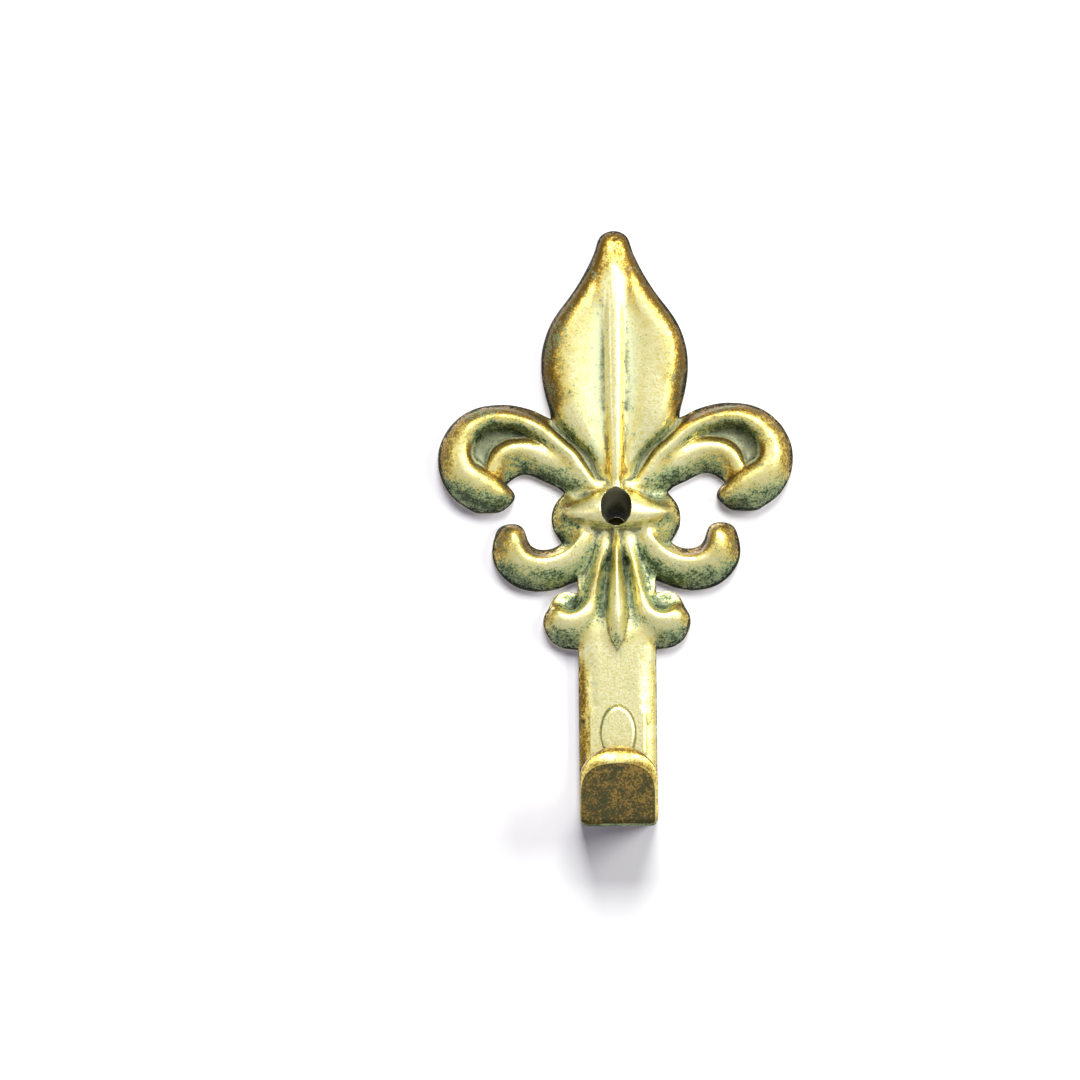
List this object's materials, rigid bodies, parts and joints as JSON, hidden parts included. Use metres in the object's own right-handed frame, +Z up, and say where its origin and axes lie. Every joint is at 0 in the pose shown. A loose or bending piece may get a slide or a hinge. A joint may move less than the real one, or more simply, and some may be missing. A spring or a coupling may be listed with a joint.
{
  "type": "picture hook",
  "caption": "Cast fleur-de-lis picture hook: a relief lily with a nail hole in its knot, over a strap that bends into an upturned lip.",
  "frame": {"origin": "on the flat back, straight behind the mouth of the nail hole", "axes": "+Z up along the strap towards the tip of the central petal, -Y out of the ornamented front, +X to the right as seen from the front"},
  "size_m": [0.036, 0.0092, 0.06],
  "materials": {
    "antique_brass": "antique brass, dark in the recesses and worn bright on the crests"
  },
  "bodies": {
    "root": {"picture_hook": "antique_brass"}
  },
  "joints": []
}
